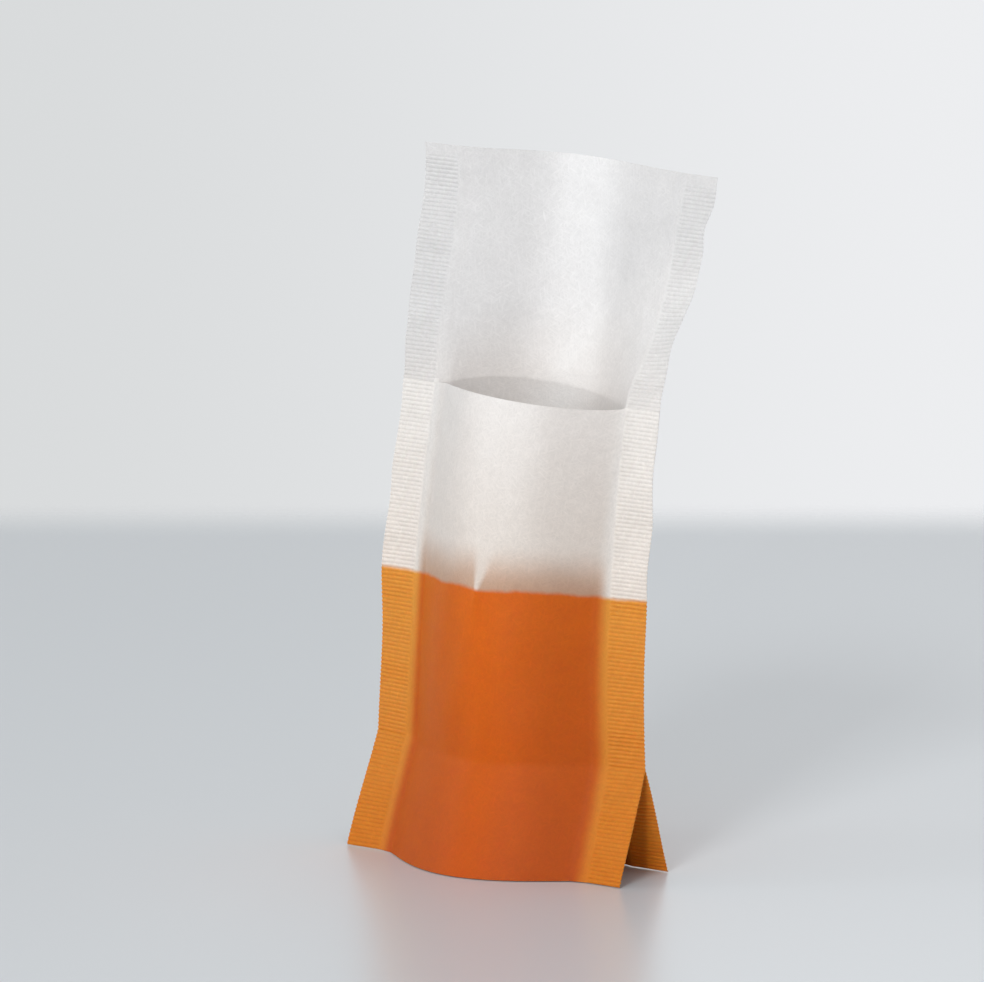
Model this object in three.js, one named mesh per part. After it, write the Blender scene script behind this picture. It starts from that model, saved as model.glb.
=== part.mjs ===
// A paper tea filter that stands open on its base gusset. One strip of heat-seal paper is folded into a front
// panel, a base gusset and a taller back panel with a flap, and its side edges are crimped together.
// Millimetres, +Z up, width along X, front panel towards -Y, origin on the floor under the filter's middle.
import * as THREE from "three";
import { mergeVertices } from "three/addons/utils/BufferGeometryUtils.js";

// The paper as it is cut and folded, measured along the sheet
const bagWidth = 85;
const frontHeight = 113; // base fold to the front edge of the mouth
const flapHeight = 57; // back panel above the mouth
const gussetDepth = 28; // base fold to the fold inside the base
const paperThickness = 0.1;

// The crimped side seals
const sealWidth = 9.5;
const crimpPitch = 1; // from rib to rib
const crimpHeight = 0.3; // from trough to crest
const crimpRunOut = 0.8; // over which the ribs flatten towards the panel
const bodySealTurn = 10; // degrees that the seals turn back beside the belly
const flapSealTurn = 7; // degrees that they turn forward at the top of the flap
const ripplePitch = 11; // the soft waves in which the seals curl
const rippleSwell = 40; // over which the waves grow and die away
const rippleHeight = 1;

// How it stands open
const cornerOpening = 21; // degrees from upright to the gusset's side, at the seals
const middleOpening = 52; // degrees, at the middle of the base
const bellyHeight = 58;
const bellyBulge = 15; // each panel's crown over the plane of the seals
const mouthBulge = 16;
const flapBulge = 3;
const smoothMargin = 4; // flat strip between the ribs and the crease where a panel starts to bulge
const marginGap = 0.8; // by which each layer has left the seals at that crease
const creaseFade = 25; // above the mouth, over which the crease dies away
const bodyCrownPower = 1.15; // near 1, so that a panel leaves its margin at a crease
const flapCrownPower = 2; // above 1, so that the flap leaves its seals without one
const bodyLean = 13; // degrees that the bag has bent back at the mouth
const flapLean = 28; // degrees just above the mouth
const flapBend = 10; // length of sheet that bends from one to the other
const topLean = 6; // degrees at the top edge, where the flap curls up again
const flapTwist = 1.5; // by which the flap's sides stand back in turn, the right one lower down
const mouthSag = 2.6; // by which the mouth's front edge hangs in its middle
const flapRise = 1; // by which the flap's top edge stands up in its middle

// How finely the smooth panels are faceted
const panelColumns = 14;
const panelRowHeight = 9;

const { degToRad, lerp, smoothstep } = THREE.MathUtils;
const fullTurn = 2 * Math.PI;
const frontFace = -1;
const backFace = 1;
const backHeight = frontHeight + flapHeight;
const halfWidth = bagWidth / 2;
const halfPanel = halfWidth - sealWidth;
const cornerSplay = gussetDepth * Math.sin(degToRad(cornerOpening));
const cornerRise = gussetDepth * Math.cos(degToRad(cornerOpening));
const baseBulge = gussetDepth * Math.sin(degToRad(middleOpening)) - cornerSplay;

// Share of a panel's full crown at a distance across the sheet from its middle.
function crown(across, height) {
  const fade = smoothstep(height, frontHeight, frontHeight + creaseFade);
  const share = Math.min(1, Math.abs(across) / (halfPanel - smoothMargin * (1 - fade)));
  return Math.pow(1 - share * share, lerp(bodyCrownPower, flapCrownPower, fade));
}

// How far a layer has left the plane of the seals where its panel's crease is.
function marginOpening(across) {
  return marginGap * smoothstep(halfPanel - Math.abs(across), 0, smoothMargin);
}

// A panel's crown in its middle, at a height along the sheet.
function bulgeAt(height) {
  if (height < bellyHeight) {
    return lerp(baseBulge, bellyBulge, smoothstep(height, 0, bellyHeight));
  }
  if (height < frontHeight) {
    return lerp(bellyBulge, mouthBulge, smoothstep(height, bellyHeight, frontHeight));
  }
  return lerp(mouthBulge, flapBulge, smoothstep(height, frontHeight, backHeight));
}

// How much longer than its chord a crowned half panel is, for a crown of 1.
function crownExcess() {
  const step = halfPanel / panelColumns;
  let longer = 0;
  for (let column = 0; column < panelColumns; column++) {
    const slope = (crown(column * step, 0) - crown((column + 1) * step, 0)) / step;
    longer += (slope * slope * step) / 2;
  }
  return longer;
}

const excess = crownExcess();

// Sideways place of a point on the sheet: a crowned panel draws its seals in, so the paper keeps its width.
function sideways(across, height) {
  const drawnIn = excess * bulgeAt(height) ** 2;
  const share = Math.min(1, Math.abs(across) / halfPanel);
  return across - Math.sign(across) * share * drawnIn;
}

// How far the seals stand off the plane through their inner edges: by their ribs, their turn and their waves.
function sealRelief(across, height) {
  const inSeal = Math.max(0, Math.abs(across) - halfPanel);
  const fade = smoothstep(height, 0, gussetDepth);
  const ribs = height / crimpPitch;
  const zigzag = 2 * Math.abs(ribs - Math.round(ribs)) - 0.5;
  const rib = crimpHeight * zigzag * Math.min(1, inSeal / crimpRunOut);
  const turn = lerp(bodySealTurn, -flapSealTurn, smoothstep(height, bellyHeight, backHeight));
  const swell = Math.sin((Math.PI * height) / rippleSwell);
  const wave = Math.sin((fullTurn * height) / ripplePitch + Math.sign(across)) * swell * swell;
  const curl = rippleHeight * wave * (inSeal / sealWidth) ** 2;
  return rib + fade * (inSeal * Math.tan(degToRad(turn)) + curl);
}

// The plane of the seals, seen from the side: it bends back on an arc up to the mouth and more sharply just
// above it, and then forward again over the flap.
const spineArcs = [
  { length: frontHeight - gussetDepth, lean: degToRad(bodyLean) },
  { length: flapBend, lean: degToRad(flapLean) },
  { length: flapHeight - flapBend, lean: degToRad(topLean) },
];

function spineAt(height) {
  let along = Math.max(0, height - gussetDepth);
  let lean = 0;
  let y = 0;
  let z = 0;
  spineArcs.forEach((arc, at) => {
    const first = at === 0 ? 0 : spineArcs[at - 1].lean;
    const length = at === spineArcs.length - 1 ? along : Math.min(along, arc.length);
    const turned = ((arc.lean - first) * length) / arc.length;
    const chord = turned === 0 ? length : (length * Math.sin(turned / 2)) / (turned / 2);
    y += chord * Math.sin(first + turned / 2);
    z += chord * Math.cos(first + turned / 2);
    if (length > 0) {
      lean = first + turned;
    }
    along -= length;
  });
  return { y, z, lean };
}

// By how much the flap's left and right sides stand back in turn.
function twistAt(across, height) {
  const onFlap = Math.max(0, height - frontHeight) / flapHeight;
  const swing = Math.sin(fullTurn * onFlap) * smoothstep(onFlap, 0, flapBend / flapHeight);
  return (flapTwist * swing * across) / halfPanel;
}

// Inner surface of the front or back panel. Above the gusset both panels share the plane of the seals, and
// below it that plane parts into two flanges. The bend is longer over the front panel than over the back one,
// so the sheet hangs a little at the mouth and stands up a little at the top.
function panelInside(face) {
  const drift = face === frontFace ? -mouthSag : flapRise;
  const edge = face === frontFace ? frontHeight : backHeight;
  return (across, height) => {
    const { y, z, lean } = spineAt(height);
    const below = Math.max(0, 1 - height / gussetDepth);
    const rise = crown(across, height);
    const opening = cornerSplay * below + marginOpening(across) + bulgeAt(height) * rise;
    const out = face * opening + sealRelief(across, height) + twistAt(across, height);
    const slip = drift * rise * smoothstep(height, gussetDepth, edge);
    return new THREE.Vector3(
      sideways(across, height),
      y + out * Math.cos(lean) + slip * Math.sin(lean),
      lerp(cornerRise, paperThickness, below) + z - out * Math.sin(lean) + slip * Math.cos(lean),
    );
  };
}

// Half the opening between the two base folds.
function baseHalf(across) {
  return cornerSplay + marginOpening(across) + baseBulge * crown(across, 0);
}

// Upper surface of the gusset, from the front base fold at -1 over its own fold at 0 to the back one at 1.
function gussetInside(across, turn) {
  const below = Math.abs(turn);
  const height = gussetDepth * (1 - below);
  const rise = Math.sqrt(gussetDepth ** 2 - baseHalf(across) ** 2);
  const y = turn * baseHalf(across) + sealRelief(across, height);
  return new THREE.Vector3(sideways(across, height), y, lerp(rise, paperThickness, below));
}

// The other side of the paper: each point moves by its thickness along the surface's normal. The steps
// span one crimp rib, so that the ribs of both sides stay in step.
function otherSide(surface, alongStep, facing) {
  return (across, along) => {
    const acrossWay = surface(across + crimpPitch / 2, along).sub(surface(across - crimpPitch / 2, along));
    const alongWay = surface(across, along + alongStep / 2).sub(surface(across, along - alongStep / 2));
    const normal = acrossWay.cross(alongWay).normalize();
    return surface(across, along).addScaledVector(normal, facing * paperThickness);
  };
}

// The outside of a panel, which at the base fold reaches the floor as a square edge.
function panelOutside(face) {
  const inside = panelInside(face);
  const outside = otherSide(inside, crimpPitch, -face);
  return (across, height) => {
    if (height > 0) {
      return outside(across, height);
    }
    const fold = inside(across, 0);
    return new THREE.Vector3(fold.x, fold.y + face * paperThickness, 0);
  };
}

// The underside of the gusset, with its own square edge at both base folds and a sharp fold in the middle.
const gussetUnder = otherSide(gussetInside, crimpPitch / gussetDepth, -1);
function gussetOutside(across, turn) {
  const fold = gussetInside(across, turn);
  if (turn === 0) {
    fold.z -= (paperThickness * gussetDepth) / baseHalf(across);
    return fold;
  }
  if (Math.abs(turn) < 1) {
    return gussetUnder(across, turn);
  }
  return new THREE.Vector3(fold.x, fold.y - turn * paperThickness, 0);
}

const frontInside = panelInside(frontFace);
const frontOutside = panelOutside(frontFace);
const backInside = panelInside(backFace);
const backOutside = panelOutside(backFace);

// Even steps between two places, both included.
function evenSteps(from, to, size) {
  const count = Math.max(1, Math.round((to - from) / size));
  return Array.from({ length: count + 1 }, (_, step) => lerp(from, to, step / count));
}

// Heights along a seal between two places: every crest and trough of the ribs, and both ends.
function ribSteps(from, to) {
  const half = crimpPitch / 2;
  const steps = [from];
  for (let rib = Math.floor(from / half) + 1; rib * half < to - half / 4; rib++) {
    if (rib * half > from + half / 4) {
      steps.push(rib * half);
    }
  }
  return [...steps, to];
}

// Steps along the gusset, from one base fold to the other, for heights from a base fold to its own fold.
function gussetSteps(heights) {
  const front = heights.map((height) => height / gussetDepth - 1);
  return [...front, ...front.slice(0, -1).reverse().map((turn) => -turn)];
}

const stretches = [
  [0, gussetDepth],
  [gussetDepth, frontHeight],
  [frontHeight, backHeight],
];
const joinSteps = (lists) => lists.flatMap((list, at) => (at ? list.slice(1) : list));
const panelRows = stretches.map(([from, to]) => evenSteps(from, to, panelRowHeight));
const [baseRows, bodyRows, flapRows] = panelRows;
const [baseRibs, bodyRibs, flapRibs] = stretches.map(([from, to]) => ribSteps(from, to));
const frontRows = joinSteps([baseRows, bodyRows]);
const frontRibs = joinSteps([baseRibs, bodyRibs]);
const backRows = joinSteps([frontRows, flapRows]);
const backRibs = joinSteps([frontRibs, flapRibs]);
const gussetRows = gussetSteps(baseRows);
const gussetRibs = gussetSteps(baseRibs);
const crease = halfPanel - smoothMargin;
const panelSteps = [-halfPanel, ...evenSteps(-crease, crease, (2 * crease) / panelColumns), halfPanel];
const sealSteps = [halfPanel, halfPanel + crimpRunOut, halfWidth];
const leftSealSteps = sealSteps.map((across) => -across).reverse();
const allSteps = [...leftSealSteps, ...panelSteps.slice(1, -1), ...sealSteps];

// Every triangle's corners, three by three
const corners = [];

// A band of triangles between two rails, each a list of points with their places along the rail. It faces the
// way of the cross product of the step from the first rail to the second with the way along them, or flipped,
// the other way.
function band(first, second, flipped) {
  let i = 0;
  let j = 0;
  while (i < first.length - 1 || j < second.length - 1) {
    const firstNext = first[i + 1];
    const secondNext = second[j + 1];
    const useFirst = !secondNext || (firstNext && firstNext.along <= secondNext.along);
    const ends = flipped ? [second[j], first[i]] : [first[i], second[j]];
    const tip = useFirst ? firstNext : secondNext;
    corners.push(ends[0].point, ends[1].point, tip.point);
    if (useFirst) {
      i++;
    } else {
      j++;
    }
  }
}

// A rail up the sheet at one distance across it, and a rail across the sheet at one height.
function upRail(surface, across, rows) {
  return rows.map((along) => ({ along, point: surface(across, along) }));
}

function crossRail(surface, along) {
  return allSteps.map((across) => ({ along: across, point: surface(across, along) }));
}

// The smooth part of one face of the sheet, between the seals.
function smoothFace(surface, rows, flipped) {
  panelSteps.slice(1).forEach((across, column) => {
    band(upRail(surface, panelSteps[column], rows), upRail(surface, across, rows), flipped);
  });
}

// The crimped seals on both sides of one face of the sheet.
function sealFace(surface, rows, ribs, flipped) {
  for (const side of [-1, 1]) {
    const [inner, runOut, outer] = sealSteps.map((across) => side * across);
    band(upRail(surface, inner, rows), upRail(surface, runOut, ribs), flipped !== side < 0);
    band(upRail(surface, runOut, ribs), upRail(surface, outer, ribs), flipped !== side < 0);
  }
}

// Front panel
smoothFace(frontOutside, frontRows, false);
sealFace(frontOutside, frontRows, frontRibs, false);
smoothFace(frontInside, frontRows, true);
band(crossRail(frontInside, frontHeight), crossRail(frontOutside, frontHeight), false);

// Back panel and flap
smoothFace(backOutside, backRows, true);
sealFace(backOutside, backRows, backRibs, true);
smoothFace(backInside, backRows, false);
sealFace(backInside, flapRows, flapRibs, false);
band(crossRail(backOutside, backHeight), crossRail(backInside, backHeight), false);

// Gusset, and the flat undersides of the two base folds
smoothFace(gussetInside, gussetRows, false);
smoothFace(gussetOutside, gussetRows, true);
sealFace(gussetOutside, gussetRows, gussetRibs, true);
band(crossRail(frontOutside, 0), crossRail(gussetOutside, frontFace), false);
band(crossRail(gussetOutside, backFace), crossRail(backOutside, 0), false);

// The cut side edges: two flanges at the base, the sealed body above them, and the single layer of the flap
const flangeUnder = (face) => (across, height) => gussetOutside(across, face * (1 - height / gussetDepth));
for (const side of [-1, 1]) {
  const rail = (surface, ribs) => upRail(surface, side * halfWidth, ribs);
  const parting = { along: gussetDepth, point: gussetOutside(side * halfWidth, 0) };
  const mouthEnd = { along: frontHeight, point: frontInside(side * halfWidth, frontHeight) };
  band(rail(frontOutside, baseRibs), rail(flangeUnder(frontFace), baseRibs), side < 0);
  band(rail(flangeUnder(backFace), baseRibs), rail(backOutside, baseRibs), side < 0);
  band([parting, ...rail(frontOutside, bodyRibs), mouthEnd], rail(backOutside, bodyRibs), side < 0);
  band(rail(backInside, flapRibs), rail(backOutside, flapRibs), side < 0);
}

const weld = paperThickness / 100;
const geometry = mergeVertices(new THREE.BufferGeometry().setFromPoints(corners), weld);
geometry.computeBoundingBox();
const middle = geometry.boundingBox.getCenter(new THREE.Vector3());
geometry.translate(-middle.x, -middle.y, 0);
geometry.computeVertexNormals();

const filterPaper = new THREE.MeshStandardMaterial({ color: 0xeae7e2, roughness: 0.9, metalness: 0 });
const filterBag = new THREE.Mesh(geometry, filterPaper);
filterBag.name = "filter_bag";

const teaFilter = new THREE.Group();
teaFilter.add(filterBag);

export default teaFilter;
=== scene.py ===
import math

import bmesh
import bpy
import numpy as np
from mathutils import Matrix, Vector


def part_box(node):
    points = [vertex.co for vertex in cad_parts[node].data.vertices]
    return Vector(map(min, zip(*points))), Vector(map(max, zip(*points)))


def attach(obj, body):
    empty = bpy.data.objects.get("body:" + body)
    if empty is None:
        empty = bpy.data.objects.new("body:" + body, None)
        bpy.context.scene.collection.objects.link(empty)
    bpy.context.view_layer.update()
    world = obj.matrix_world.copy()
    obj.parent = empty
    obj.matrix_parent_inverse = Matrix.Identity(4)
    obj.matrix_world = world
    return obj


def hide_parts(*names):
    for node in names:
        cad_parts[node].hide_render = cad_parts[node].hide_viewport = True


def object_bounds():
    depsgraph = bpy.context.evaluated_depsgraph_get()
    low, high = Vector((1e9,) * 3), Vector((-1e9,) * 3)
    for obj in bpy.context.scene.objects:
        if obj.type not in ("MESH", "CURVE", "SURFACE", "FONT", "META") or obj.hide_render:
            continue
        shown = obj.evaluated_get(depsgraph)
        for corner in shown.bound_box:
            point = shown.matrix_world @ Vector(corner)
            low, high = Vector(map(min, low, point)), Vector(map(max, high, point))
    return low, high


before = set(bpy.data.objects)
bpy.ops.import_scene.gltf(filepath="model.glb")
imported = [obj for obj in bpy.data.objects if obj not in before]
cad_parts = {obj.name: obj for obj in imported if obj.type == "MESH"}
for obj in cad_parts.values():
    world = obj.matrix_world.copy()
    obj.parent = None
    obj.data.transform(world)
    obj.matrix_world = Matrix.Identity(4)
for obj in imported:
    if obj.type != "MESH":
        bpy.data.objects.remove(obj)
cadBox = [list(corner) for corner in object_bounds()]
scene = bpy.context.scene
scene.view_settings.view_transform = "Standard"
millimetre = 0.001
print("frame loaded, solids span", cadBox)


def linearColour(hexCode):
    channels = [int(hexCode[at:at + 2], 16) / 255 for at in (1, 3, 5)]
    return [c / 12.92 if c <= 0.04045 else ((c + 0.055) / 1.055) ** 2.4 for c in channels] + [1.0]


def smoothStep(value, low, high):
    share = np.clip((value - low) / (high - low), 0, 1)
    return share * share * (3 - 2 * share)


def hump(value, middle, spread):
    return np.exp(-((value - middle) / spread) ** 2)


# The sheet as it was cut and folded, in mm, and how it stands open
sheet = {
    "bagWidth": 85.0,
    "frontHeight": 113.0,       # base fold to the front edge of the mouth
    "flapHeight": 57.0,         # back panel above the mouth
    "gussetDepth": 28.0,        # base fold to the fold inside the base
    "thickness": 0.1,
    "sealWidth": 9.5,
    "smoothMargin": 4.0,        # flat strip between the ribs and the crease of the panel
    "marginGap": 0.8,           # by which each layer has left the seals at that crease
    "creaseFade": 25.0,         # above the mouth, over which that crease dies away
    "cornerOpening": 21.0,      # degrees from upright to the gusset's side, at the seals
    "middleOpening": 52.0,      # degrees, at the middle of the base
    "bellyHeight": 58.0,
    "bellyBulge": 15.0,
    "mouthBulge": 16.0,
    "flapBulge": 3.0,
    "bodyCrownPower": 1.15,     # how full the curve of a panel is, from seal to seal
    "flapCrownPower": 2.0,
    "bodyLean": 13.0,           # degrees that the bag has bent back at the mouth
    "flapLean": 28.0,           # degrees just above the mouth
    "flapBend": 10.0,           # above the mouth, over which it bends so far
    "topLean": 6.0,             # degrees at the top edge
    "flapTwist": 1.5,           # by which the flap's sides stand back in turn
    "flapRise": 1.0,            # by which the flap's top edge stands up in its middle
}

frontFace = -1
backFace = 1
backHeight = sheet["frontHeight"] + sheet["flapHeight"]
halfWidth = sheet["bagWidth"] / 2
halfPanel = halfWidth - sheet["sealWidth"]
cornerSplay = sheet["gussetDepth"] * math.sin(math.radians(sheet["cornerOpening"]))
cornerRise = sheet["gussetDepth"] * math.cos(math.radians(sheet["cornerOpening"]))
baseBulge = sheet["gussetDepth"] * math.sin(math.radians(sheet["middleOpening"])) - cornerSplay
baseReach = cornerSplay + baseBulge + sheet["marginGap"] + sheet["thickness"]
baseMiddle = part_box("filter_bag")[0].y / millimetre + baseReach

# The crimped seals: ribs across them, their turn, and the soft waves in which their edges curl
sealForm = {
    "ribPitch": 1.0,
    "ribHeight": 0.3,           # trough to crest
    "ribRunOut": 0.8,           # over which the ribs flatten towards the panel
    "ribPatches": [(17.0, 1.0, 1.7), (10.37, 0.6, -1.0)],  # mm between weak stretches, share, phase by side
    "ribWeakening": 0.14,       # how much weaker the ribs are there
    "plainTop": {-1: 2.4, 1: 2.0},  # mm of plain paper at the top edge, by side
    "plainTopFade": (2.0, 0.6),     # times that below the edge, where the ribs are full and where they end
    "bodyTurn": 10.0,           # degrees back, beside the belly
    "flapTurn": 7.0,            # degrees forward, at the top of the flap
    "curls": {                  # side: (height, spread, how far the edge stands forward), all mm
        -1: [(170, 9, -0.8), (149, 7, 1.1), (126, 8, -0.5), (106, 5, -0.5), (92, 5, 0.7), (70, 12, 2.0)],
        1: [(164, 4, -0.8), (157, 4, 1.4), (146, 5, 0.8), (138, 5, 1.1), (129, 9, 5.0), (98, 6, 0.6),
            (86, 5, -0.7), (74, 5, 0.5)],
    },
    "curlPower": 1.5,           # how the curls grow towards the cut edge
}


def ribStrength(across, height):
    side = np.where(across < 0, -1, 1)
    plainTop = np.where(side < 0, sealForm["plainTop"][-1], sealForm["plainTop"][1])
    full, gone = sealForm["plainTopFade"]
    fadeIn = 1 - smoothStep(height, backHeight - full * plainTop, backHeight - gone * plainTop)
    patch = 0
    for pitch, share, phase in sealForm["ribPatches"]:
        patch = patch + share * np.sin(2 * np.pi * height / pitch + phase * side)
    return fadeIn * (1 + sealForm["ribWeakening"] * (patch - 1))


def sealRelief(across, height):
    inSeal = np.maximum(0, np.abs(across) - halfPanel)
    share = inSeal / sheet["sealWidth"]
    fade = smoothStep(height, 0, sheet["gussetDepth"])
    rib = sealForm["ribHeight"] / 2 * np.cos(2 * np.pi * height / sealForm["ribPitch"])
    rib = rib * ribStrength(across, height) * np.minimum(1, inSeal / sealForm["ribRunOut"])
    turnShare = smoothStep(height, sheet["bellyHeight"], backHeight)
    turn = sealForm["bodyTurn"] + (-sealForm["flapTurn"] - sealForm["bodyTurn"]) * turnShare
    curl = 0
    for side, humps in sealForm["curls"].items():
        for middle, spread, forward in humps:
            curl = curl - (across * side > 0) * forward * hump(height, middle, spread)
    return rib + fade * (inSeal * np.tan(np.radians(turn)) + curl * share ** sealForm["curlPower"])


# Soft marks of handling on the panels, in mm
handling = {
    "buckleHeight": 0.09,
    "buckles": [(31, 0.4, 0.3), (23, 1.3, 2.1), (17, 2.2, 4.0), (12, 2.8, 1.2)],  # pitch, direction, phase
    "buckleStart": (0.3, 1.6),          # gusset depths up a panel, between which they set in
    "sideFade": 0.5,                    # power of the panel's curve by which marks fade towards the seals
    "flapFold": (4.0, 9.0, 0.15),       # place across, spread and height of the soft fold down the flap
    "flapFoldStart": (-6.0, 14.0),      # from the mouth up, between which it sets in
    "pleat": (1.5, 1.3, 0.8),           # place across, spread and height of the small pinched pleat
    "pleatHeight": (69.0, 9.0, 4.5),    # where on the front panel, and how far it reaches up and down
    "mouthSag": 1.5,                    # by which the mouth's front edge hangs in its middle
    "mouthSkew": 1.4,                   # how much more it hangs on the right than on the left
    "mouthRound": 0.7,                  # how full the curve in which it hangs is
    "openRight": (72.0, 110.0),         # heights between which the panels part from the right seal itself
}


def crown(across, height):
    fade = smoothStep(height, sheet["frontHeight"], sheet["frontHeight"] + sheet["creaseFade"])
    parted = (across > 0) * smoothStep(height, *handling["openRight"])
    share = np.minimum(1, np.abs(across) / (halfPanel - sheet["smoothMargin"] * (1 - fade) * (1 - parted)))
    power = sheet["bodyCrownPower"] + (sheet["flapCrownPower"] - sheet["bodyCrownPower"]) * fade
    return (1 - share * share) ** power


def marginOpening(across):
    return sheet["marginGap"] * smoothStep(halfPanel - np.abs(across), 0, sheet["smoothMargin"])


def bulgeAt(height):
    belly = baseBulge + (sheet["bellyBulge"] - baseBulge) * smoothStep(height, 0, sheet["bellyHeight"])
    mouth = smoothStep(height, sheet["bellyHeight"], sheet["frontHeight"])
    flap = smoothStep(height, sheet["frontHeight"], backHeight)
    rise = (sheet["mouthBulge"] - sheet["bellyBulge"]) * mouth
    return belly + rise + (sheet["flapBulge"] - sheet["mouthBulge"]) * flap


# The length that a crown of 1 mm takes up, summed over short steps across half a panel
crownSteps = 60
places = np.linspace(0, halfPanel, crownSteps)
slopes = np.diff(crown(places, 0.0)) / np.diff(places)
crownExcess = float((slopes ** 2 / 2).sum() * (places[1] - places[0]))


def sideways(across, height):
    drawnIn = crownExcess * bulgeAt(height) ** 2
    share = np.minimum(1, np.abs(across) / halfPanel)
    return across - np.sign(across) * share * drawnIn


# The plane of the seals from the side: arcs that bend back past the mouth, and forward over the flap
spineLengths = [sheet["frontHeight"] - sheet["gussetDepth"], sheet["flapBend"],
                sheet["flapHeight"] - sheet["flapBend"]]
spineLeans = np.radians([0, sheet["bodyLean"], sheet["flapLean"], sheet["topLean"]])


def spineAt(height):
    along = np.maximum(0, height - sheet["gussetDepth"])
    y = z = lean = along * 0
    for at, arcLength in enumerate(spineLengths):
        length = along if at == len(spineLengths) - 1 else np.minimum(along, arcLength)
        turned = (spineLeans[at + 1] - spineLeans[at]) * length / arcLength
        chord = length * np.sinc(turned / 2 / np.pi)
        y = y + chord * np.sin(spineLeans[at] + turned / 2)
        z = z + chord * np.cos(spineLeans[at] + turned / 2)
        lean = lean + turned
        along = along - length
    return y, z, lean


def twistAt(across, height):
    onFlap = np.maximum(0, height - sheet["frontHeight"]) / sheet["flapHeight"]
    swing = np.sin(2 * np.pi * onFlap) * smoothStep(onFlap, 0, sheet["flapBend"] / sheet["flapHeight"])
    return sheet["flapTwist"] * swing * across / halfPanel


def handled(face, across, height):
    fromSeals = crown(across, height) ** handling["sideFade"]
    marks = 0
    for pitch, way, phase in handling["buckles"]:
        along = across * math.cos(way) + height * math.sin(way)
        marks = marks + handling["buckleHeight"] * np.sin(2 * np.pi * along / pitch + phase + face)
    start, full = [depths * sheet["gussetDepth"] for depths in handling["buckleStart"]]
    marks = marks * fromSeals * smoothStep(height, start, full)
    if face == backFace:
        place, spread, rise = handling["flapFold"]
        start, full = [sheet["frontHeight"] + above for above in handling["flapFoldStart"]]
        onFlap = smoothStep(height, start, full)
        marks = marks - onFlap * rise * np.tanh((across - place) / spread) * fromSeals
    else:
        place, spread, rise = handling["pleat"]
        middle, up, down = handling["pleatHeight"]
        reach = np.where(height > middle, up, down)
        marks = marks - rise * hump(across, place, spread) * hump(height, middle, reach)
    return marks


def panelInside(face):
    edge = sheet["frontHeight"] if face == frontFace else backHeight

    def surface(across, height):
        y, z, lean = spineAt(height)
        below = np.maximum(0, 1 - height / sheet["gussetDepth"])
        rise = crown(across, height)
        out = face * (cornerSplay * below + marginOpening(across) + bulgeAt(height) * rise)
        out = out + sealRelief(across, height) + twistAt(across, height) + handled(face, across, height)
        fromSide = np.maximum(0, 1 - (across / halfPanel) ** 2) ** handling["mouthRound"]
        hang = -handling["mouthSag"] * fromSide * (1 + handling["mouthSkew"] * across / halfPanel)
        slip = hang if face == frontFace else sheet["flapRise"] * rise
        slip = slip * smoothStep(height, sheet["gussetDepth"], edge)
        y = baseMiddle + y + out * np.cos(lean) + slip * np.sin(lean)
        z = z - out * np.sin(lean) + slip * np.cos(lean)
        z = z + cornerRise + (sheet["thickness"] - cornerRise) * below
        return np.stack([sideways(across, height), y, z], axis=-1)

    return surface


def baseHalf(across):
    return cornerSplay + marginOpening(across) + baseBulge * crown(across, 0.0)


def gussetInside(across, turn):
    below = np.abs(turn)
    height = sheet["gussetDepth"] * (1 - below)
    rise = np.sqrt(sheet["gussetDepth"] ** 2 - baseHalf(across) ** 2)
    y = turn * baseHalf(across) + sealRelief(across, height)
    z = rise + (sheet["thickness"] - rise) * below
    return np.stack([sideways(across, height), y + baseMiddle, z], axis=-1)


def otherSide(surface, alongStep, facing):
    step = sealForm["ribPitch"] / 2

    def moved(across, along):
        acrossWay = surface(across + step, along) - surface(across - step, along)
        alongWay = surface(across, along + alongStep / 2) - surface(across, along - alongStep / 2)
        normal = np.cross(acrossWay, alongWay)
        normal = normal / np.linalg.norm(normal, axis=-1, keepdims=True)
        return surface(across, along) + normal * facing * sheet["thickness"]

    return moved


def panelOutside(face):
    inside = panelInside(face)
    outside = otherSide(inside, sealForm["ribPitch"], -face)
    foldCorner = np.array([0, face * sheet["thickness"], -sheet["thickness"]])

    def surface(across, height):
        floorEdge = inside(across, height * 0) + foldCorner
        return np.where((height > 0)[..., None], outside(across, height), floorEdge)

    return surface


gussetUnder = otherSide(gussetInside, sealForm["ribPitch"] / sheet["gussetDepth"], -1)


def gussetOutside(across, turn):
    fold = gussetInside(across, turn)
    drop = sheet["thickness"] * sheet["gussetDepth"] / baseHalf(across)
    ridge = fold - np.stack([drop * 0, drop * 0, drop], axis=-1)
    side = np.stack([drop * 0, -np.sign(turn) * sheet["thickness"], drop * 0 - sheet["thickness"]], axis=-1)
    middle = np.where((turn == 0)[..., None], ridge, gussetUnder(across, turn))
    return np.where((np.abs(turn) == 1)[..., None], fold + side, middle)


# How finely the sheet is drawn, in mm
fineness = {
    "panelStep": 1.0,
    "ribSteps": 6,              # to one rib
    "sealSteps": [0, 0.4, 0.8, 1.6, 3, 4.6, 6.2, 7.8],  # from the panel out, short of the cut edge
    "weldDistance": 0.002,
    "sharpAngle": 48.0,         # degrees, from which an edge is drawn sharp
}


def evenSteps(low, high, size):
    return np.linspace(low, high, max(1, round((high - low) / size)) + 1)


def joinSteps(*lists):
    return np.concatenate([lists[0]] + [steps[1:] for steps in lists[1:]])


def gussetSteps(heights):
    front = heights / sheet["gussetDepth"] - 1
    return np.concatenate([front, -front[-2::-1]])


def stretchSteps(size):
    base = evenSteps(0, sheet["gussetDepth"], size)
    body = evenSteps(sheet["gussetDepth"], sheet["frontHeight"], size)
    flap = evenSteps(sheet["frontHeight"], backHeight, size)
    front = joinSteps(base, body)
    return {"base": base, "body": body, "front": front, "flap": flap,
            "back": joinSteps(front, flap), "gusset": gussetSteps(base)}


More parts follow.
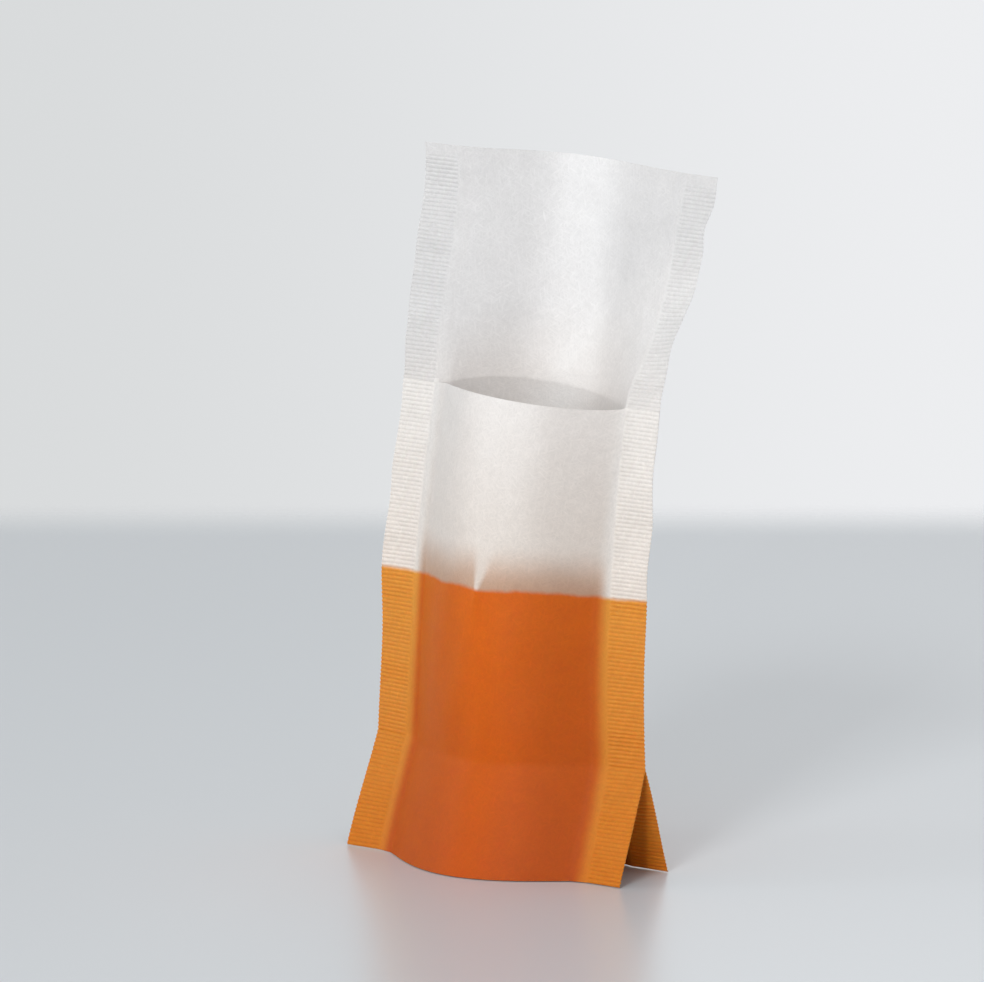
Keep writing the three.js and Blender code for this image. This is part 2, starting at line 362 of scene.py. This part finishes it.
rows = stretchSteps(fineness["panelStep"])
ribs = stretchSteps(sealForm["ribPitch"] / fineness["ribSteps"])
panelSteps = evenSteps(-halfPanel, halfPanel, fineness["panelStep"])
sealSteps = halfPanel + np.array(fineness["sealSteps"] + [sheet["sealWidth"]])
allSteps = np.concatenate([-sealSteps[::-1], panelSteps[1:-1], sealSteps])

frontInside = panelInside(frontFace)
frontOutside = panelOutside(frontFace)
backInside = panelInside(backFace)
backOutside = panelOutside(backFace)


# Where a place lies along the flat sheet, from the mouth's front edge over the base to the flap's top
def frontWeb(height):
    return sheet["frontHeight"] - height


def gussetWeb(turn):
    return sheet["frontHeight"] + sheet["gussetDepth"] * (1 + turn)


def backWeb(height):
    return sheet["frontHeight"] + 2 * sheet["gussetDepth"] + height


points = []      # mm
webPlaces = []   # where each point is on the flat sheet, mm
faces = []


def rail(surface, web, across, along):
    across, along = np.broadcast_arrays(np.asarray(across, float), np.asarray(along, float))
    start = len(points)
    points.extend(surface(across, along).tolist())
    webPlaces.extend(np.stack([across, web(along)], axis=-1).tolist())
    return list(range(start, len(points)))


def band(first, second, firstAlong, secondAlong):
    if len(first) == len(second):
        for at in range(len(first) - 1):
            faces.append((first[at], second[at], second[at + 1], first[at + 1]))
        return
    i = j = 0
    while i < len(first) - 1 or j < len(second) - 1:
        secondEnds = j == len(second) - 1
        firstGoes = secondEnds or (i < len(first) - 1 and firstAlong[i + 1] <= secondAlong[j + 1])
        faces.append((first[i], second[j], first[i + 1] if firstGoes else second[j + 1]))
        i, j = (i + 1, j) if firstGoes else (i, j + 1)


def smoothPanel(surface, web, along):
    rails = [rail(surface, web, across, along) for across in panelSteps]
    for first, second in zip(rails, rails[1:]):
        band(first, second, along, along)


def crimpedSeals(surface, web, coarse, fine):
    for side in (-1, 1):
        inner = rail(surface, web, side * halfPanel, coarse)
        rails = [rail(surface, web, side * across, fine) for across in sealSteps[1:]]
        band(inner, rails[0], coarse, fine)
        for first, second in zip(rails, rails[1:]):
            band(first, second, fine, fine)


def edgeBand(first, second):
    rails = []
    for surface, web, along in (first, second):
        rails.append(rail(surface, web, allSteps, np.full(len(allSteps), float(along))))
    band(*rails, allSteps, allSteps)


def flangeUnder(face):
    return lambda across, height: gussetOutside(across, face * (1 - height / sheet["gussetDepth"]))


smoothPanel(frontOutside, frontWeb, rows["front"])
crimpedSeals(frontOutside, frontWeb, rows["front"], ribs["front"])
smoothPanel(frontInside, frontWeb, rows["front"])
edgeBand((frontInside, frontWeb, sheet["frontHeight"]), (frontOutside, frontWeb, sheet["frontHeight"]))
smoothPanel(backOutside, backWeb, rows["back"])
crimpedSeals(backOutside, backWeb, rows["back"], ribs["back"])
smoothPanel(backInside, backWeb, rows["back"])
crimpedSeals(backInside, backWeb, rows["flap"], ribs["flap"])
edgeBand((backOutside, backWeb, backHeight), (backInside, backWeb, backHeight))
smoothPanel(gussetInside, gussetWeb, rows["gusset"])
smoothPanel(gussetOutside, gussetWeb, rows["gusset"])
crimpedSeals(gussetOutside, gussetWeb, rows["gusset"], ribs["gusset"])
edgeBand((frontOutside, frontWeb, 0), (gussetOutside, gussetWeb, frontFace))
edgeBand((gussetOutside, gussetWeb, backFace), (backOutside, backWeb, 0))

# The cut side edges: two flanges at the base, the sealed body above them, and the single layer of the flap
for side in (-1, 1):
    edge = side * halfWidth
    under = [rail(flangeUnder(face), frontWeb, edge, ribs["base"]) for face in (frontFace, backFace)]
    band(rail(frontOutside, frontWeb, edge, ribs["base"]), under[0], ribs["base"], ribs["base"])
    band(under[1], rail(backOutside, backWeb, edge, ribs["base"]), ribs["base"], ribs["base"])
    parting = rail(gussetOutside, gussetWeb, edge, np.zeros(1))
    mouthEnd = rail(frontInside, frontWeb, edge, np.full(1, sheet["frontHeight"]))
    seam = parting + rail(frontOutside, frontWeb, edge, ribs["body"]) + mouthEnd
    seamAlong = np.concatenate([ribs["body"][:1], ribs["body"], ribs["body"][-1:]])
    band(seam, rail(backOutside, backWeb, edge, ribs["body"]), seamAlong, ribs["body"])
    band(rail(backInside, backWeb, edge, ribs["flap"]), rail(backOutside, backWeb, edge, ribs["flap"]),
         ribs["flap"], ribs["flap"])

mesh = bpy.data.meshes.new("filter_paper_sheet")
mesh.from_pydata((np.array(points) * millimetre).tolist(), [], faces)
sheetPlace = mesh.attributes.new("sheetPlace", "FLOAT_VECTOR", "POINT")
sheetPlace.data.foreach_set("vector", np.pad(np.array(webPlaces) * millimetre, ((0, 0), (0, 1))).ravel())
skin = bmesh.new()
skin.from_mesh(mesh)
bmesh.ops.remove_doubles(skin, verts=skin.verts, dist=fineness["weldDistance"] * millimetre)
bmesh.ops.recalc_face_normals(skin, faces=skin.faces)
openEdges = sum(not edge.is_manifold for edge in skin.edges)
skin.to_mesh(mesh)
skin.free()
for polygon in mesh.polygons:
    polygon.use_smooth = True
mesh.set_sharp_from_angle(angle=math.radians(fineness["sharpAngle"]))
filterBag = bpy.data.objects.new("filter_paper_sheet", mesh)
scene.collection.objects.link(filterBag)
triangles = sum(len(polygon.vertices) - 2 for polygon in mesh.polygons)
print("paper sheet drawn,", triangles, "triangles,", openEdges, "open edges")


def addNode(tree, kind, settings=None, **inputs):
    node = tree.nodes.new(kind)
    for name, value in (settings or {}).items():
        setattr(node, name, value)
    for name, value in inputs.items():
        socket = node.inputs[int(name[1:])] if name[1:].isdigit() else node.inputs[name.replace("_", " ")]
        if isinstance(value, bpy.types.NodeSocket):
            tree.links.new(value, socket)
        else:
            socket.default_value = value
    return node


# Node settings that recur
times = {"operation": "MULTIPLY"}
timesPlus = {"operation": "MULTIPLY_ADD"}
plus = {"operation": "ADD"}
minus = {"operation": "SUBTRACT"}
larger = {"operation": "MAXIMUM"}
lessThan = {"operation": "LESS_THAN"}
absolute = {"operation": "ABSOLUTE"}
eased = {"interpolation_type": "SMOOTHSTEP"}
colours = {"data_type": "RGBA"}


def newMaterial(name):
    material = bpy.data.materials.new(name)
    material.use_nodes = True
    material.node_tree.nodes.clear()
    return material, material.node_tree


# Heat-seal filter paper, wet-laid from long plant fibres: a soft matte white, cloudy where the pulp is
# thicker, with fine fibres across the web. Brewing has dyed its lower half amber up to a soft level line.
paperLook = {
    "flapShadedLayer": "#DAD9D9",             # one layer with nothing behind it, drawn greyer as partly painted shade
    "flapShadeEdge": (8.0, 30.0, 0.5),       # mm past the mouth where that begins and is full, and its slant, painted light that keeps the lower right lighter
    "singleLayer": "#E4E2E1",           # a panel of the pouch, with the other behind it
    "doubleLayer": "#ECEAE8",           # two layers pressed together
    "dyedSingle": ("#CC630A", "#BB5206"),   # just below the level line, and at the base
    "dyedDouble": ("#E09A3E", "#D27D20"),
    "tideHeight": 66.0,                 # mm from the floor to the level line
    "tideSoft": 1.4,                    # mm over which the dye ends there, and by which the line strays
    "tideWander": 14.0,                 # mm between its small waves
    "tideCrown": 1.8,                   # mm that it has crept higher in the middle of a panel
    "wick": "#B6937B",                  # where the wet has crept up above the line
    "wickShare": 0.9,
    "wickHeight": 12.0,                 # mm
    "tintAboveLine": "#F5EBE2",                  # painted warm light bounced up from the tea, fainter still, fading out just past the mouth
    "bounceWarmthHeight": 62.0,                 # mm
    "sealBounceWarmth": 0.65,                   # how much of that painted warmth the seals take up
    "pleatHighlight": (0.4, 0.16, 0.2),      # painted highlight along the pleat: mm at the line, growth and slant by height
    "pleatHighlightEdge": (0.2, 2.4),            # half widths of the wedge between which it grows wet
    "pleatHighlightWet": 0.2,                    # how wet it is in its middle
    "sheenBand": (6.0, -2.5, 2.4),       # painted sheen highlight, a whiter band: mm from the middle, on the front, behind the mouth and at the top
    "sheenBandWidth": 19.0,              # mm, half of it
    "sheenBandWhite": (0.17, 0.25),      # how much whiter it is, on the front and on the flap
    "cloudSize": 7.0,                   # mm
    "cloudEdge": (0.3, 0.7),            # of the noise, between which a cloud shades
    "cloudShade": (0.975, 1.025),
    "fibreLength": 2.0,                 # mm, drawn a little coarser than real so that it shows
    "fibreWidth": 0.5,
    "fibreTurns": (20, 80, 140),        # degrees, three ways in which the fibres lie across each other
    "fibreEdge": (0.45, 0.75),          # of the noise, between which a fibre shades
    "fibreShade": (0.92, 1.05),
    "fibreRelief": 0.06,                # mm
    "fibreRaised": 0.8,                 # how much of that relief shows
    "ribLineShade": 0.09,                   # how much darker the lines between the seals' ribs are drawn, painted shade
    "ribLineShadeEdge": (0.1, 0.9),         # of the ribs' wave, between which a line shades
    "ribLineShadeTop": (1.5, 4.5),          # mm below the top edge, between which the lines set in
    "dryRoughness": 0.6,
    "wetRoughness": 0.55,
    "refraction": 1.47,                 # of cellulose
    "specularLevel": 0.2,
    "scatterShare": 0.9,
    "scatterDepth": 0.25,               # mm
}


def filterPaper(look):
    material, tree = newMaterial("filter paper, wet-laid and heat-sealed")
    place = addNode(tree, "ShaderNodeAttribute", {"attribute_name": "sheetPlace"}).outputs["Vector"]
    web = addNode(tree, "ShaderNodeSeparateXYZ", Vector=place).outputs
    across, along = web["X"], web["Y"]
    fromMiddle = addNode(tree, "ShaderNodeMath", absolute, _0=across).outputs[0]
    position = addNode(tree, "ShaderNodeNewGeometry").outputs["Position"]
    height = addNode(tree, "ShaderNodeSeparateXYZ", Vector=position).outputs["Z"]
    crease = (halfPanel - sheet["smoothMargin"]) * millimetre
    frontFold, backFold = frontWeb(0) * millimetre, backWeb(0) * millimetre
    mouthLine = backWeb(sheet["frontHeight"])
    topEdge = backWeb(backHeight)

    # two layers are pressed together in the seals below the mouth, so they look whiter
    inSeal = addNode(tree, "ShaderNodeMapRange", eased, Value=fromMiddle, From_Min=crease,
                     From_Max=halfPanel * millimetre).outputs["Result"]
    belowMouth = addNode(tree, "ShaderNodeMath", lessThan, _0=along, _1=mouthLine * millimetre).outputs[0]
    double = addNode(tree, "ShaderNodeMath", times, _0=inSeal, _1=belowMouth).outputs[0]
    white = addNode(tree, "ShaderNodeMix", colours, _0=double, _6=linearColour(look["singleLayer"]),
                    _7=linearColour(look["doubleLayer"])).outputs[2]
    # the flap is one layer with only air behind it, drawn greyer as partly painted shade; its edge slants
    # so the flap's lower right stays lighter, painted light
    flapBegins, flapFull, flapShadeSlant = look["flapShadeEdge"]
    upFlap = addNode(tree, "ShaderNodeMath", timesPlus, _0=across, _1=-flapShadeSlant, _2=along).outputs[0]
    flapShadeShare = addNode(tree, "ShaderNodeMapRange", eased, Value=upFlap,
                        From_Min=(mouthLine + flapBegins) * millimetre,
                        From_Max=(mouthLine + flapFull) * millimetre).outputs["Result"]
    white = addNode(tree, "ShaderNodeMix", colours, _0=flapShadeShare, _6=white,
                    _7=linearColour(look["flapShadedLayer"])).outputs[2]

    # the level line, with its small waves and its creep in the middle of a panel
    tide = look["tideHeight"] * millimetre
    stray = look["tideSoft"] * millimetre
    wander = addNode(tree, "ShaderNodeTexNoise", Vector=position, Detail=4.0, Roughness=0.6,
                     Scale=1 / (look["tideWander"] * millimetre)).outputs["Fac"]
    lift = addNode(tree, "ShaderNodeMapRange", Value=wander, To_Min=-stray, To_Max=stray).outputs["Result"]
    fromCrown = addNode(tree, "ShaderNodeMath", times, _0=fromMiddle, _1=fromMiddle).outputs[0]
    creep = addNode(tree, "ShaderNodeMapRange", Value=fromCrown, From_Max=crease ** 2,
                    To_Min=-look["tideCrown"] * millimetre, To_Max=0.0).outputs["Result"]
    lift = addNode(tree, "ShaderNodeMath", plus, _0=lift, _1=creep).outputs[0]
    level = addNode(tree, "ShaderNodeMath", plus, _0=height, _1=lift).outputs[0]
    steeped = addNode(tree, "ShaderNodeMapRange", eased, Value=level, From_Min=tide + stray / 2,
                      From_Max=tide - stray / 2).outputs["Result"]
    wicked = addNode(tree, "ShaderNodeMapRange", eased, Value=level,
                     From_Min=tide + look["wickHeight"] * millimetre, From_Max=tide,
                     To_Max=look["wickShare"]).outputs["Result"]
    notSealed = addNode(tree, "ShaderNodeMath", minus, _0=1.0, _1=double).outputs[0]
    wicked = addNode(tree, "ShaderNodeMath", times, _0=wicked, _1=notSealed).outputs[0]

    # a painted highlight: a wedge along the pinched pleat is kept pale, clear of the wet tint
    wedgeEnd, wedgeGrowth, wedgeSlant = look["pleatHighlight"]
    aboveTide = addNode(tree, "ShaderNodeMath", minus, _0=level, _1=tide).outputs[0]
    wedgeMiddle = addNode(tree, "ShaderNodeMath", timesPlus, _0=aboveTide, _1=wedgeSlant,
                          _2=handling["pleat"][0] * millimetre).outputs[0]
    wedgeAside = addNode(tree, "ShaderNodeMath", minus, _0=across, _1=wedgeMiddle).outputs[0]
    wedgeAside = addNode(tree, "ShaderNodeMath", absolute, _0=wedgeAside).outputs[0]
    wedgeHalf = addNode(tree, "ShaderNodeMath", timesPlus, _0=aboveTide, _1=wedgeGrowth,
                        _2=wedgeEnd * millimetre).outputs[0]
    wedgeShare = addNode(tree, "ShaderNodeMath", {"operation": "DIVIDE"}, _0=wedgeAside,
                         _1=wedgeHalf).outputs[0]
    pleatHighlightWet = addNode(tree, "ShaderNodeMapRange", eased, Value=wedgeShare, From_Min=look["pleatHighlightEdge"][0],
                       From_Max=look["pleatHighlightEdge"][1], To_Min=look["pleatHighlightWet"]).outputs["Result"]
    onFront = addNode(tree, "ShaderNodeMath", lessThan, _0=along, _1=frontFold).outputs[0]
    pleatHighlightWet = addNode(tree, "ShaderNodeMapRange", Value=onFront, To_Min=1.0,
                       To_Max=pleatHighlightWet).outputs["Result"]
    wicked = addNode(tree, "ShaderNodeMath", times, _0=wicked, _1=pleatHighlightWet).outputs[0]

    # from the top down: a faint warm tint, painted light bounced up from the tea, the wet edge, and the dye
    # below the line, deeper to the base
    rising = addNode(tree, "ShaderNodeMapRange", Value=level, From_Max=tide,
                     From_Min=tide + look["bounceWarmthHeight"] * millimetre).outputs["Result"]
    sealsLessWarmed = addNode(tree, "ShaderNodeMapRange", Value=double, To_Min=1.0,
                      To_Max=look["sealBounceWarmth"]).outputs["Result"]
    rising = addNode(tree, "ShaderNodeMath", times, _0=rising, _1=sealsLessWarmed).outputs[0]
    bounceWarmed = addNode(tree, "ShaderNodeMix", {"data_type": "RGBA", "blend_type": "MULTIPLY"}, _0=rising,
                    _6=white, _7=linearColour(look["tintAboveLine"])).outputs[2]
    tintAboveLine = addNode(tree, "ShaderNodeMix", colours, _0=wicked, _6=bounceWarmed,
                   _7=linearColour(look["wick"])).outputs[2]
    depth = addNode(tree, "ShaderNodeMapRange", Value=level, From_Min=tide, From_Max=0.0).outputs["Result"]
    tints = []
    for pale, deep in (look["dyedSingle"], look["dyedDouble"]):
        tints.append(addNode(tree, "ShaderNodeMix", colours, _0=depth, _6=linearColour(pale),
                             _7=linearColour(deep)).outputs[2])
    dye = addNode(tree, "ShaderNodeMix", colours, _0=double, _6=tints[0], _7=tints[1]).outputs[2]
    dyed = addNode(tree, "ShaderNodeMix", colours, _0=steeped, _6=tintAboveLine, _7=dye).outputs[2]

    # clouds of thicker pulp, and fibres that lie across each other
    cloud = addNode(tree, "ShaderNodeTexNoise", Vector=place, Scale=1 / (look["cloudSize"] * millimetre),
                    Detail=3.0, Roughness=0.55).outputs["Fac"]
    cloudShade = addNode(tree, "ShaderNodeMapRange", Value=cloud, From_Min=look["cloudEdge"][0],
                         From_Max=look["cloudEdge"][1], To_Min=look["cloudShade"][0],
                         To_Max=look["cloudShade"][1]).outputs["Result"]
    fibreScale = [1 / (look["fibreLength"] * millimetre), 1 / (look["fibreWidth"] * millimetre), 1.0]
    fibres = []
    for turn in look["fibreTurns"]:
        turned = addNode(tree, "ShaderNodeVectorRotate", {"rotation_type": "Z_AXIS"}, Vector=place,
                         Angle=math.radians(turn)).outputs[0]
        fibrePlace = addNode(tree, "ShaderNodeVectorMath", times, _0=turned, _1=fibreScale).outputs[0]
        fibres.append(addNode(tree, "ShaderNodeTexNoise", Vector=fibrePlace, Scale=1.0, Detail=3.0,
                              Roughness=0.6, Distortion=0.5).outputs["Fac"])
    crossed = addNode(tree, "ShaderNodeMath", larger, _0=fibres[0], _1=fibres[1]).outputs[0]
    fibre = addNode(tree, "ShaderNodeMath", larger, _0=crossed, _1=fibres[2]).outputs[0]
    fibreShade = addNode(tree, "ShaderNodeMapRange", Value=fibre, From_Min=look["fibreEdge"][0],
                         From_Max=look["fibreEdge"][1], To_Min=look["fibreShade"][0],
                         To_Max=look["fibreShade"][1]).outputs["Result"]
    shade = addNode(tree, "ShaderNodeMath", times, _0=cloudShade, _1=fibreShade).outputs[0]

    # darker lines between the seals' ribs: painted shade that deepens the ribs' relief
    ribTurn = addNode(tree, "ShaderNodeMath", times, _0=along,
                      _1=2 * math.pi / (sealForm["ribPitch"] * millimetre)).outputs[0]
    ribWave = addNode(tree, "ShaderNodeMath", {"operation": "COSINE"}, _0=ribTurn).outputs[0]
    ribLineShading = addNode(tree, "ShaderNodeMapRange", Value=ribWave, From_Min=look["ribLineShadeEdge"][0],
                          From_Max=look["ribLineShadeEdge"][1], To_Max=look["ribLineShade"]).outputs["Result"]
    ribPlace = addNode(tree, "ShaderNodeMapRange", Value=fromMiddle, From_Min=halfPanel * millimetre,
                       From_Max=(halfPanel + sealForm["ribRunOut"]) * millimetre).outputs["Result"]
    belowTop = addNode(tree, "ShaderNodeMapRange", Value=along,
                       From_Min=(topEdge - look["ribLineShadeTop"][0]) * millimetre,
                       From_Max=(topEdge - look["ribLineShadeTop"][1]) * millimetre).outputs["Result"]
    ribLineShading = addNode(tree, "ShaderNodeMath", times, _0=ribLineShading, _1=ribPlace).outputs[0]
    ribLineShading = addNode(tree, "ShaderNodeMath", times, _0=ribLineShading, _1=belowTop).outputs[0]
    ribLineShading = addNode(tree, "ShaderNodeMath", minus, _0=1.0, _1=ribLineShading).outputs[0]
    shade = addNode(tree, "ShaderNodeMath", times, _0=shade, _1=ribLineShading).outputs[0]

    # a painted sheen highlight: a whiter band down the middle, slanting on the flap
    sheenFront, sheenMouth, sheenTop = [fromCentre * millimetre for fromCentre in look["sheenBand"]]
    sheenPlace = addNode(tree, "ShaderNodeMapRange", Value=along, From_Min=frontFold, From_Max=backFold,
                        To_Min=sheenFront, To_Max=sheenMouth).outputs["Result"]
    sheenSlant = addNode(tree, "ShaderNodeMapRange", Value=along, From_Min=mouthLine * millimetre,
                        From_Max=topEdge * millimetre, To_Max=sheenTop - sheenMouth).outputs["Result"]
    sheenPlace = addNode(tree, "ShaderNodeMath", plus, _0=sheenPlace, _1=sheenSlant).outputs[0]
    sheenAside = addNode(tree, "ShaderNodeMath", minus, _0=across, _1=sheenPlace).outputs[0]
    sheenAside = addNode(tree, "ShaderNodeMath", absolute, _0=sheenAside).outputs[0]
    sheenLift = addNode(tree, "ShaderNodeMapRange", {"interpolation_type": "SMOOTHERSTEP"}, Value=sheenAside,
                      From_Min=look["sheenBandWidth"] * millimetre, From_Max=0.0).outputs["Result"]
    sheenWhite = addNode(tree, "ShaderNodeMapRange", Value=along, From_Min=frontFold, From_Max=backFold,
                        To_Min=look["sheenBandWhite"][0], To_Max=look["sheenBandWhite"][1]).outputs["Result"]
    sheenLift = addNode(tree, "ShaderNodeMath", timesPlus, _0=sheenLift, _1=sheenWhite, _2=1.0).outputs[0]
    shade = addNode(tree, "ShaderNodeMath", times, _0=shade, _1=sheenLift).outputs[0]

    colour = addNode(tree, "ShaderNodeVectorMath", {"operation": "SCALE"}, _0=dyed, Scale=shade).outputs[0]
    roughness = addNode(tree, "ShaderNodeMapRange", Value=steeped, To_Min=look["dryRoughness"],
                        To_Max=look["wetRoughness"]).outputs["Result"]
    relief = addNode(tree, "ShaderNodeBump", Strength=look["fibreRaised"],
                     Distance=look["fibreRelief"] * millimetre, Height=fibre).outputs["Normal"]
    paper = addNode(tree, "ShaderNodeBsdfPrincipled", Base_Color=colour, Roughness=roughness, Normal=relief,
                    IOR=look["refraction"], Specular_IOR_Level=look["specularLevel"],
                    Subsurface_Weight=look["scatterShare"], Subsurface_Radius=[1.0, 1.0, 1.0],
                    Subsurface_Scale=look["scatterDepth"] * millimetre)
    addNode(tree, "ShaderNodeOutputMaterial", Surface=paper.outputs["BSDF"])
    return material


mesh.materials.append(filterPaper(paperLook))
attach(filterBag, "root")
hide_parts("filter_bag")
print("paper finished")

# The camera stands to the right of the bag and a little above it, with a long lens, as for the photograph
viewpoint = {
    "turn": 35.1,               # degrees
    "rise": 11.5,
    "distance": 3.0,            # m
    "farthest": 20.0,           # m that it sees
    "pixelsPerMm": 4.23,
    "imageSize": (984, 982),
    "markHeight": 68.0,         # mm up the sheet, on the plane of the seals
    "markPixel": (512, 584),    # where that mark is in the picture
}

# Pale acrylic floor, polished: a cool grey-white with a soft reflection
studio = {
    "floorColour": "#D1D6DA",
    "floorRoughness": 0.3,
    "floorRefraction": 1.49,
    "floorReach": 0.42,         # m from its middle to its far edge
    "floorFade": 0.05,          # m over which its edge melts into the backdrop
    "floorDrop": 0.0002,        # m below the bag's base folds
    "backdrop": ("#D9DBDC", "#EDEEF0"),     # its left and its right, as the camera sees it
    "backdropTurn": 5.0,        # degrees over which one passes into the other
    "worldStrength": 0.62,
    "lamps": {      # degrees round from the bag's front, degrees up, distance and size in m, watts, colour
        "front_key": (12.0, 40.0, 1.5, 0.4, 7.0, "#FFFFFF"),
        "low_key": (18.0, 4.0, 1.6, 0.04, 4.4, "#FFFFFF"),  # small, so the mouth edge casts a clear shadow
        "left_fill": (-52.0, 10.0, 1.6, 0.4, 4.4, "#FFFFFF"),
        "warm_bounce": (52.0, 3.0, 1.6, 0.4, 1.6, "#FFEBDA"),
        "back_fill": (205.0, 30.0, 1.6, 0.9, 2.6, "#FFFFFF"),
    },
}


def polishedFloor(look):
    material, tree = newMaterial("acrylic table, polished")
    onFloor = addNode(tree, "ShaderNodeTexCoord").outputs["Object"]
    sides = addNode(tree, "ShaderNodeVectorMath", absolute, _0=onFloor).outputs["Vector"]
    sides = addNode(tree, "ShaderNodeSeparateXYZ", Vector=sides).outputs
    reach = addNode(tree, "ShaderNodeMath", larger, _0=sides["X"], _1=sides["Y"]).outputs[0]
    fade = addNode(tree, "ShaderNodeMapRange", eased, Value=reach,
                   From_Min=look["floorReach"] - look["floorFade"],
                   From_Max=look["floorReach"]).outputs["Result"]
    top = addNode(tree, "ShaderNodeBsdfPrincipled", Base_Color=linearColour(look["floorColour"]),
                  Roughness=look["floorRoughness"], IOR=look["floorRefraction"])
    clear = addNode(tree, "ShaderNodeBsdfTransparent")
    surface = addNode(tree, "ShaderNodeMixShader", _0=fade, _1=top.outputs[0], _2=clear.outputs[0])
    addNode(tree, "ShaderNodeOutputMaterial", Surface=surface.outputs[0])
    return material


bpy.ops.mesh.primitive_plane_add(size=2 * studio["floorReach"])
floor = bpy.context.object
floor.name = "table_top"
floor.location.z = -studio["floorDrop"]
floor.rotation_euler.z = math.radians(viewpoint["turn"])
floor.data.materials.append(polishedFloor(studio))

world = bpy.data.worlds.new("studio")
scene.world = world
world.use_nodes = True
sky = world.node_tree
sky.nodes.clear()
rays = addNode(sky, "ShaderNodeLightPath").outputs
seen = addNode(sky, "ShaderNodeMath", larger, _0=rays["Is Camera Ray"], _1=rays["Is Glossy Ray"]).outputs[0]
seen = addNode(sky, "ShaderNodeMath", larger, _0=seen, _1=rays["Is Transmission Ray"]).outputs[0]
strength = addNode(sky, "ShaderNodeMapRange", Value=seen, To_Min=studio["worldStrength"],
                   To_Max=1.0).outputs["Result"]
wayOut = addNode(sky, "ShaderNodeTexCoord").outputs["Generated"]
turnRight = math.radians(viewpoint["turn"])
aside = addNode(sky, "ShaderNodeVectorMath", {"operation": "DOT_PRODUCT"}, _0=wayOut,
                _1=[math.cos(turnRight), math.sin(turnRight), 0.0]).outputs["Value"]
halfTurn = math.radians(studio["backdropTurn"]) / 2
sideShare = addNode(sky, "ShaderNodeMapRange", eased, Value=aside, From_Min=-halfTurn,
                    From_Max=halfTurn).outputs["Result"]
leftColour, rightColour = [linearColour(tone) for tone in studio["backdrop"]]
backColour = addNode(sky, "ShaderNodeMix", colours, _0=sideShare, _6=leftColour, _7=rightColour).outputs[2]
backdrop = addNode(sky, "ShaderNodeBackground", Color=backColour, Strength=strength)
addNode(sky, "ShaderNodeOutputWorld", Surface=backdrop.outputs[0])


def fromBearing(turn, rise):
    turn, rise = math.radians(turn), math.radians(rise)
    return Vector((math.sin(turn) * math.cos(rise), -math.cos(turn) * math.cos(rise), math.sin(rise)))


bagMiddle = Vector((0, 0, cadBox[1][2] / 2))
for name, (turn, rise, distance, size, power, tone) in studio["lamps"].items():
    lamp = bpy.data.lights.new(name, "AREA")
    lamp.shape = "DISK"
    lamp.size = size
    lamp.energy = power
    lamp.color = linearColour(tone)[:3]
    softbox = bpy.data.objects.new(name, lamp)
    scene.collection.objects.link(softbox)
    towardsLamp = fromBearing(turn, rise)
    softbox.location = bagMiddle + towardsLamp * distance
    softbox.rotation_euler = towardsLamp.to_track_quat("Z", "Y").to_euler()
print("studio lit")

cameraData = bpy.data.cameras.new("camera")
camera = bpy.data.objects.new("camera", cameraData)
scene.collection.objects.link(camera)
scene.camera = camera
towardsCamera = fromBearing(viewpoint["turn"], viewpoint["rise"])
facing = towardsCamera.to_track_quat("Z", "Y")
markY, markZ, _ = spineAt(viewpoint["markHeight"])
mark = Vector((0, markY + baseMiddle, markZ + cornerRise))
offset = [(viewpoint["markPixel"][axis] - viewpoint["imageSize"][axis] / 2) / viewpoint["pixelsPerMm"]
          for axis in (0, 1)]
aim = mark - facing @ Vector((offset[0], -offset[1], 0))
camera.location = aim * millimetre + towardsCamera * viewpoint["distance"]
camera.rotation_euler = facing.to_euler()
framed = viewpoint["imageSize"][0] / viewpoint["pixelsPerMm"] * millimetre
cameraData.lens = cameraData.sensor_width * viewpoint["distance"] / framed
cameraData.clip_end = viewpoint["farthest"]
print("camera placed, lens", round(cameraData.lens), "mm")
